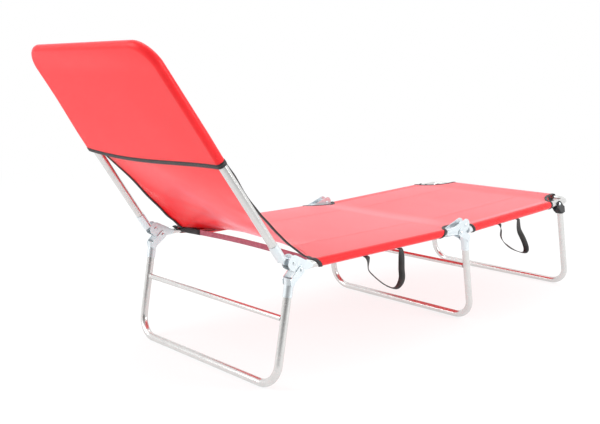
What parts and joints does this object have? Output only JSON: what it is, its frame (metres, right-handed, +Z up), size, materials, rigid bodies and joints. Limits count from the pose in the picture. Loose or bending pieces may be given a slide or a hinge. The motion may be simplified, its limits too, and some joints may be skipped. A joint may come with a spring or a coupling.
{
  "type": "folding sun lounger",
  "caption": "Folding beach lounger with a raised backrest, bent aluminium tube frame, fold-away U legs, stamped hinges and a red mesh sling",
  "frame": {"origin": "centre of the overall box, on the floor", "axes": "+X towards the side with the carry loops, +Y from the head end to the foot end, +Z up"},
  "size_m": [0.584, 1.7144, 0.7862],
  "materials": {
    "tube": "bright polished round tube",
    "zinc": "zinc-plated stamped sheet steel",
    "mesh": "open coated mesh, see-through against the light",
    "band": "flat woven band",
    "webbing": "flat woven webbing and edge binding",
    "plastic": "moulded, light sheen"
  },
  "bodies": {
    "seat": {"rail_left": "tube", "rail_right": "tube", "back_plate_left": "zinc", "back_plate_right": "zinc", "fold_plate_left": "zinc", "fold_plate_right": "zinc", "back_pivots": "zinc", "fold_pivots": "zinc", "rear_leg_rivets": "zinc", "mid_leg_rivets": "zinc", "seat_sling": "mesh", "cross_band": "band", "seat_loop": "webbing"},
    "backrest": {"back_frame": "tube", "back_lug_left": "zinc", "back_lug_right": "zinc", "back_cover": "mesh", "back_sheet": "mesh"},
    "foot_section": {"foot_frame": "tube", "foot_lug_left": "zinc", "foot_lug_right": "zinc", "foot_sling": "mesh", "foot_loop": "webbing", "foot_leg_pins": "zinc"},
    "rear_leg": {"rear_leg_frame": "tube", "rear_leg_stretcher": "tube", "rear_fork_left": "zinc", "rear_fork_right": "zinc"},
    "mid_leg": {"mid_leg_frame": "tube", "mid_leg_stretcher": "tube", "mid_fork_left": "zinc", "mid_fork_right": "zinc"},
    "foot_leg": {"foot_leg_frame": "tube", "foot_knuckle_left": "plastic", "foot_knuckle_right": "plastic"}
  },
  "joints": [
    {"name": "backrest_recline", "type": "hinge", "parent": "seat", "child": "backrest", "pos_m": [0, -0.49575, 0.301], "axis": [-1, 0, 0], "range_deg": [-54.9, 50], "deforming": ["back_sheet"]},
    {"name": "foot_fold", "type": "hinge", "parent": "seat", "child": "foot_section", "pos_m": [0, 0.19025, 0.301], "axis": [1, 0, 0], "range_deg": [0, 178]},
    {"name": "rear_leg_fold", "type": "hinge", "parent": "seat", "child": "rear_leg", "pos_m": [0, -0.47375, 0.2815], "axis": [1, 0, 0], "range_deg": [0, 96]},
    {"name": "mid_leg_fold", "type": "hinge", "parent": "seat", "child": "mid_leg", "pos_m": [0, 0.16625, 0.2815], "axis": [-1, 0, 0], "range_deg": [0, 98]},
    {"name": "foot_leg_fold", "type": "hinge", "parent": "foot_section", "child": "foot_leg", "pos_m": [0, 0.74154, 0.3032], "axis": [-1, 0, 0], "range_deg": [0, 103]}
  ]
}
